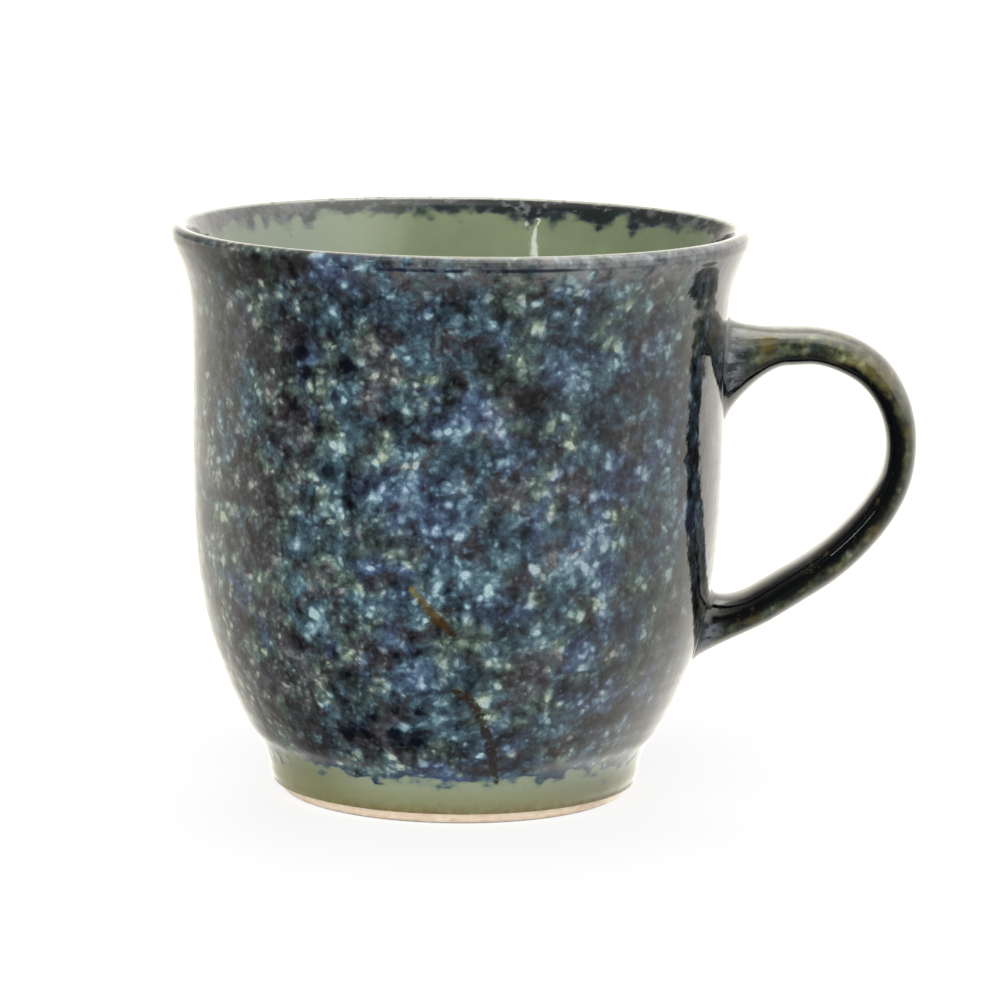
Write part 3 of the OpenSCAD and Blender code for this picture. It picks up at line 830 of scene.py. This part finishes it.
        g1, _c = grains(t, t.offset(PW, (3, 2, 1)), 0.62, 0.12, 0.70)
        ol = t.math("MULTIPLY_ADD", g1, 0.34, t.math("MULTIPLY_ADD", o1, 1.50, 0.395))
        oc = t.ramp(ol, palette((6, 8, 6), (34, 37, 28), (66, 70, 50), (102, 107, 75), (146, 148, 112), (192, 192, 158)))
        teal = t.ramp(ol, palette((5, 8, 10), (28, 37, 38), (55, 70, 67), (86, 105, 98), (128, 146, 136), (178, 194, 182)))
        oc = t.mix(t.math("MULTIPLY", t.step(t.noise(t.offset(P, (20, 30, 4)), 0.16, 4, 0.6), 0.50, 0.64), 0.7), oc, teal)
        gold = t.noise(t.offset(P, (3, 9, 27)), 0.19, 4, 0.62)
        oc = t.mix(t.math("MULTIPLY", t.step(gold, 0.52, 0.70), 0.70), oc, t.mix(0.4, srgb(124, 110, 54), t.ramp(ol, palette((40, 32, 12), (96, 84, 38), (150, 134, 72)))))
        # Near-black on the strap's inner side: partly dark glaze, partly painted shade and a painted dark reflection;
        # side is low on the inner face, higher near the upper joint.
        dark_glaze_and_shade = t.mix(t.step(t.noise(t.offset(PW, (8, 3, 60)), 0.5, 4, 0.62), 0.58, 0.72), srgb(7, 10, 12), srgb(62, 52, 34))
        side = t.math("ADD", crest, t.math("MULTIPLY", t.math("SUBTRACT", t.noise(t.offset(P, (2, 5, 9)), 0.28, 4, 0.6), 0.5), 0.7))
        side = t.math("MULTIPLY_ADD", t.math("SUBTRACT", 1.0, t.step(along, 0.24, 0.44)), 0.40, side)
        oc = t.mix(t.step(side, -0.04, 0.30), dark_glaze_and_shade, oc)
        veins = t.noise(t.offset(P, (1, 1, 6), (0.45, 1, 1)), 0.8, 4, 0.65)
        # At the joints: pale pooled glaze over the print darkened as painted shade, with painted shade on the inner
        # side and in the crease against the wall.
        pool = t.mix(t.step(veins, 0.44, 0.58), t.mix(0.35, col, srgb(24, 32, 42)), srgb(142, 148, 160))
        pool = t.mix(t.step(side, -0.35, 0.15), dark_glaze_and_shade, pool)
        pool = t.mix(t.step(t.attr("wall"), 0.1, 1.2), t.mix(0.35, col, srgb(24, 32, 42)), pool)
        base = t.mix(hand, pool, oc)
    t.put(t.bsdf.inputs["Base Color"], base)
    rr = t.noise(t.offset(P, (5, 6, 7)), 0.8, 3, 0.6)
    t.put(t.bsdf.inputs["Roughness"], t.math("MULTIPLY_ADD", rr, 0.07, 0.03))
    t.bsdf.inputs["IOR"].default_value = 1.55
    # ---- surface: orange peel of the glaze over slow waves
    peel = t.noise(P, 0.62, 3, 0.5)
    calm = 0.45 if kind in ("liner", "rim") else 1.0
    b = t.bump(peel, 0.00003 * calm)
    slow = t.noise(t.offset(P, (1, 2, 3)), 0.16, 2, 0.5)
    b = t.bump(slow, 0.00009 * calm, normal=b)
    t.put(t.bsdf.inputs["Normal"], b)
    return t.mat


def clay(name, hidden=False):
    t = Tree(name)
    P = t.P
    n = t.noise(P, 0.5, 5, 0.65)
    col = t.ramp(n, [(0.3, srgb(206, 182, 152)), (0.5, srgb(222, 202, 176)), (0.7, srgb(232, 214, 192))])
    sp = t.voronoi(P, 1.3)
    spot = t.math("SUBTRACT", 1.0, t.step(sp, 0.10, 0.2))
    pick = t.step(t.noise(P, 0.7, 2, 0.5), 0.56, 0.64)
    col = t.mix(t.math("MULTIPLY", spot, pick), col, srgb(150, 112, 78))
    fine = t.noise(P, 5.0, 3, 0.7)
    col = t.mix(1.0, col, t.ramp(fine, [(0.3, (0.86, 0.86, 0.86, 1)), (0.7, (1.06, 1.06, 1.06, 1))]), "MULTIPLY")
    if not hidden:
        # scorched ochre where the clay meets the glaze line
        sep = t.nt.nodes.new("ShaderNodeSeparateXYZ")
        t.put(sep.inputs[0], P)
        z = t.math("ADD", sep.outputs[2], t.math("MULTIPLY", t.math("SUBTRACT", t.noise(P, 0.4, 3, 0.6), 0.5), 0.5))
        och = t.step(z, 1.7, 2.1)
        col = t.mix(t.math("MULTIPLY", och, 0.75), col, srgb(156, 122, 78))
    t.put(t.bsdf.inputs["Base Color"], col)
    t.put(t.bsdf.inputs["Roughness"], t.math("MULTIPLY_ADD", fine, 0.2, 0.68))
    t.bsdf.inputs["IOR"].default_value = 1.45
    b = t.bump(fine, 0.00005)
    b = t.bump(n, 0.00008, normal=b)
    t.put(t.bsdf.inputs["Normal"], b)
    return t.mat


pieces = [
    (mottled, "wall", "sponged_blue", ["mottled_glaze", "iron_strokes"]),
    (band, "band", "celadon", ["celadon_band"]),
    (rim, "rim", "rim_blue", ["rim_glaze"]),
    (liner, "liner", "celadon", ["liner_glaze"]),
    (well, "well", "celadon", ["foot_well_glaze"]),
    (handle, "handle", "handle_olive", ["handle_glaze"]),
]
for ob, kind, slot, nodes in pieces:
    ob.data.materials.append(glaze("glaze_" + kind, kind))
    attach(ob, "root")
    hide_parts(*nodes)
foot.data.materials.append(clay("bare_clay_turned"))
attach(foot, "root")
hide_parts("foot_ring")
under = clay("body_clay_fired", hidden=True)
for n in ("thrown_body", "handle_strap", "upper_lute", "lower_lute"):
    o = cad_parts[n]
    o.data.materials.clear()
    o.data.materials.append(under)


# ------------------------------------------------------------------ stage
def stage_mat(name, color, emit=0.0, rough=0.9):
    m = bpy.data.materials.new(name)
    m.use_nodes = True
    b = m.node_tree.nodes["Principled BSDF"]
    b.inputs["Base Color"].default_value = (*color, 1)
    b.inputs["Roughness"].default_value = rough
    b.inputs["Specular IOR Level"].default_value = 0.0
    b.inputs["Emission Color"].default_value = (1, 1, 1, 1)
    b.inputs["Emission Strength"].default_value = emit
    return m


def disc(name, r0, r1, a0, a1, z, mat, n=96):
    """Flat ring sector on the floor; angles in degrees from the front, positive to the right."""
    V, F = [], []
    for i in range(n + 1):
        a = math.radians(a0 + (a1 - a0) * i / n)
        for r in (r0, r1):
            V.append((r * math.sin(a), -r * math.cos(a), z))
    for i in range(n):
        F.append((2 * i, 2 * i + 1, 2 * i + 3, 2 * i + 2))
    me = bpy.data.meshes.new(name)
    me.from_pydata(V, [], F)
    me.materials.append(mat)
    ob = bpy.data.objects.new(name, me)
    bpy.context.scene.collection.objects.link(ob)
    return ob


fm = stage_mat("floor_paper", (0.20, 0.20, 0.20), 1.0)
ft = fm.node_tree
fb = ft.nodes["Principled BSDF"]
tc = ft.nodes.new("ShaderNodeTexCoord")
ln = ft.nodes.new("ShaderNodeVectorMath")
ln.operation = "LENGTH"
mr = ft.nodes.new("ShaderNodeMapRange")
mr.interpolation_type = "SMOOTHSTEP"
for sock, v in (("From Min", 0.03), ("From Max", 0.16), ("To Min", 0.82), ("To Max", 1.0)):
    mr.inputs[sock].default_value = v
ft.links.new(tc.outputs["Object"], ln.inputs[0])
ft.links.new(ln.outputs["Value"], mr.inputs["Value"])
ft.links.new(mr.outputs[0], fb.inputs["Emission Strength"])
floor = disc("floor", 0.0, 6.0, -180, 180, -0.00002, fm)
floor.visible_diffuse = False
floor.visible_glossy = False
floor.visible_shadow = False


def card(name, r0, r1, a0, a1, z, glow):
    """Light bounced off the paper, seen by matt surfaces only."""
    ob = disc(name, r0, r1, a0, a1, z, stage_mat(name, (0, 0, 0), glow))
    ob.visible_camera = ob.visible_glossy = ob.visible_shadow = False
    return ob


card("bounce", 0.036, 0.30, -115, 50, -0.0001, 0.70)
card("bounce_near", 0.0286, 0.036, -180, 60, -0.0001, 1.15)
card("bounce_right", 0.0286, 0.036, 60, 180, -0.0001, 1.9)


def area(name, az, el, dist, w, h, radiance, color=(1, 1, 1), target=(0, 0, 0.05), gloss=False, matt=True):
    """Soft light at an azimuth from the front and an elevation, facing the target, of a given radiance."""
    d = bpy.data.lights.new(name, "AREA")
    d.shape = "RECTANGLE"
    d.size, d.size_y = w, h
    d.energy = radiance * math.pi * w * h
    d.color = color
    o = bpy.data.objects.new(name, d)
    a, e = math.radians(az), math.radians(el)
    back = Vector((math.sin(a) * math.cos(e), -math.cos(a) * math.cos(e), math.sin(e)))
    o.location = Vector(target) + back * dist
    o.rotation_mode = "QUATERNION"
    o.rotation_quaternion = back.to_track_quat("Z", "Y")
    o.visible_camera = False
    o.visible_glossy, o.visible_diffuse = gloss, matt
    bpy.context.scene.collection.objects.link(o)
    return o


area("key", -8, 27, 1.3, 1.2, 0.9, 4.6)
area("overhead", 0, 88, 1.3, 0.9, 0.9, 1.6)
area("back_fill", 178, 30, 1.3, 0.9, 0.9, 4.2)
area("strip", -37, 28.5, 1.2, 0.05, 0.32, 9.0, gloss=True, matt=False)

# The room that the gloss mirrors: white surfaces behind and beside the mug,
# dark in front. Brightness by direction, in three belts of elevation.
w = bpy.data.worlds.new("studio")
bpy.context.scene.world = w
w.use_nodes = True
w.cycles.sampling_method = "NONE"
nt = w.node_tree
nt.nodes.clear()


def wnode(kind, **kw):
    n = nt.nodes.new(kind)
    for k, v in kw.items():
        setattr(n, k, v)
    return n


def wmath(op, a, b=0.0):
    n = wnode("ShaderNodeMath", operation=op)
    for i, v in enumerate((a, b)):
        if isinstance(v, bpy.types.NodeSocket):
            nt.links.new(v, n.inputs[i])
        else:
            n.inputs[i].default_value = v
    return n.outputs[0]


def wrange(v, a, b):
    n = wnode("ShaderNodeMapRange", interpolation_type="SMOOTHSTEP")
    nt.links.new(v, n.inputs["Value"])
    n.inputs["From Min"].default_value, n.inputs["From Max"].default_value = a, b
    return n.outputs[0]


def wmix(f, a, b):
    n = wnode("ShaderNodeMix", data_type="RGBA")
    for i, v in ((0, f), (6, a), (7, b)):
        if isinstance(v, bpy.types.NodeSocket):
            nt.links.new(v, n.inputs[i])
        else:
            n.inputs[i].default_value = v
    return n.outputs[2]


WARM, NEUTRAL = (1.0, 0.965, 0.85), (1.0, 0.97, 0.885)


def belt(stops):
    """Radiance by azimuth, in eighths, as a colour ramp over -180 to 180 degrees."""
    n = wnode("ShaderNodeValToRGB")
    els = n.color_ramp.elements
    pts = [((az + 180) / 360, r / 8, WARM if az < 0 else NEUTRAL) for az, r in stops]
    for k, (p, r, c) in enumerate(pts):
        e = els[0] if k == 0 else els[1] if k == 1 else els.new(p)
        if k < 2:
            e.position = p
        e.color = (r * c[0], r * c[1], r * c[2], 1)
    nt.links.new(azimuth, n.inputs[0])
    return n.outputs[0]


wtc = wnode("ShaderNodeTexCoord")
wsep = wnode("ShaderNodeSeparateXYZ")
nt.links.new(wtc.outputs["Generated"], wsep.inputs[0])
wx, wy, wz = wsep.outputs
azimuth = wmath("ADD", wmath("DIVIDE", wmath("ARCTAN2", wx, wmath("MULTIPLY", wy, -1.0)), 2 * math.pi), 0.5)
elev = wmath("MULTIPLY", wmath("ARCSINE", wz), 180 / math.pi)
low = belt([(-180, 2.0), (-165, 1.7), (-150, 1.35), (-130, 1.2), (-112, 1.0), (-100, 0.6), (-88, 0.15), (-75, 0.05),
            (-10, 0.05), (20, 0.2), (55, 0.45), (84, 0.9), (118, 1.6), (135, 1.8), (180, 1.7)])
mid = belt([(-180, 1.8), (-168, 1.3), (-152, 0.5), (-125, 0.35), (-105, 0.25), (-90, 0.10), (-75, 0.05), (20, 0.06), (32, 1.6), (50, 2.6), (100, 2.6),
            (120, 2.3), (150, 2.0), (180, 1.8)])
top = belt([(-180, 5.5), (-168, 4.0), (-150, 1.3), (-120, 0.7), (-90, 0.6), (-20, 0.9), (30, 2.4), (100, 3.4), (140, 5.0), (180, 5.5)])
under = belt([(-180, 1.6), (-150, 0.95), (-130, 0.55), (-112, 0.34), (-100, 0.20), (-88, 0.08), (-75, 0.05), (-10, 0.05), (20, 0.2), (55, 0.45),
              (84, 0.9), (118, 1.6), (135, 1.8), (180, 1.7)])
low = wmix(wrange(wmath("MULTIPLY", elev, -1.0), 11, 34), low, under)
room = wmix(wrange(elev, 0, 12), low, mid)
room = wmix(wrange(elev, 40, 62), room, top)
room = wmix(wrange(wmath("MULTIPLY", elev, -1.0), 55, 75), room, (0.04, 0.04, 0.038, 1))

wo = wnode("ShaderNodeOutputWorld")
lp = wnode("ShaderNodeLightPath")
gl, cam_bg, soft = (wnode("ShaderNodeBackground") for _ in range(3))
nt.links.new(room, gl.inputs[0])
gl.inputs[1].default_value = 8.0
cam_bg.inputs[0].default_value = (1, 1, 1, 1)
cam_bg.inputs[1].default_value = 1.0
soft.inputs[0].default_value = (1, 1, 1, 1)
soft.inputs[1].default_value = 0.10
m1, m2 = wnode("ShaderNodeMixShader"), wnode("ShaderNodeMixShader")
nt.links.new(lp.outputs["Is Glossy Ray"], m1.inputs[0])
nt.links.new(soft.outputs[0], m1.inputs[1])
nt.links.new(gl.outputs[0], m1.inputs[2])
nt.links.new(lp.outputs["Is Camera Ray"], m2.inputs[0])
nt.links.new(m1.outputs[0], m2.inputs[1])
nt.links.new(cam_bg.outputs[0], m2.inputs[2])
nt.links.new(m2.outputs[0], wo.inputs[0])

sc = bpy.context.scene
sc.view_settings.view_transform = "Standard"
sc.view_settings.look = "None"
sc.view_settings.exposure = 0.0
sc.view_settings.gamma = 1.0

# ------------------------------------------------------------------ camera
# Looks at the mug from 9.4 degrees above, 0.82 m away, with a long lens.
F_PX = 6.0431 * 819.0
EL, DIST = math.radians(9.394), 0.819
AIM_Z = 0.04711
CX, CY, ROLL = 457.2, 507.16, math.radians(0.74)
cam_d = bpy.data.cameras.new("camera")
cam_d.sensor_width = 36
cam_d.sensor_fit = "HORIZONTAL"
cam_d.lens = F_PX / 1000 * 36
cam = bpy.data.objects.new("camera", cam_d)
sc.collection.objects.link(cam)
back = Vector((0, -math.cos(EL), math.sin(EL)))
cam.location = Vector((0, 0, AIM_Z)) + back * DIST
right, up = Vector((1, 0, 0)), Vector((0, math.sin(EL), math.cos(EL)))
M = Matrix((right, up, back)).transposed()
# The mug's axis sits left of the middle of the picture and leans a little, so
# the camera turns by that much about its own axes.
roll = Matrix.Rotation(ROLL, 3, "Z")
off = (Matrix.Rotation(-math.atan((500 - CX) / F_PX), 3, "Y") @ Matrix.Rotation(-math.atan((500 - CY) / F_PX), 3, "X"))
cam.rotation_mode = "QUATERNION"
cam.rotation_quaternion = (M @ roll @ off).to_quaternion()
cam_d.clip_start, cam_d.clip_end = 0.05, 30
sc.camera = cam
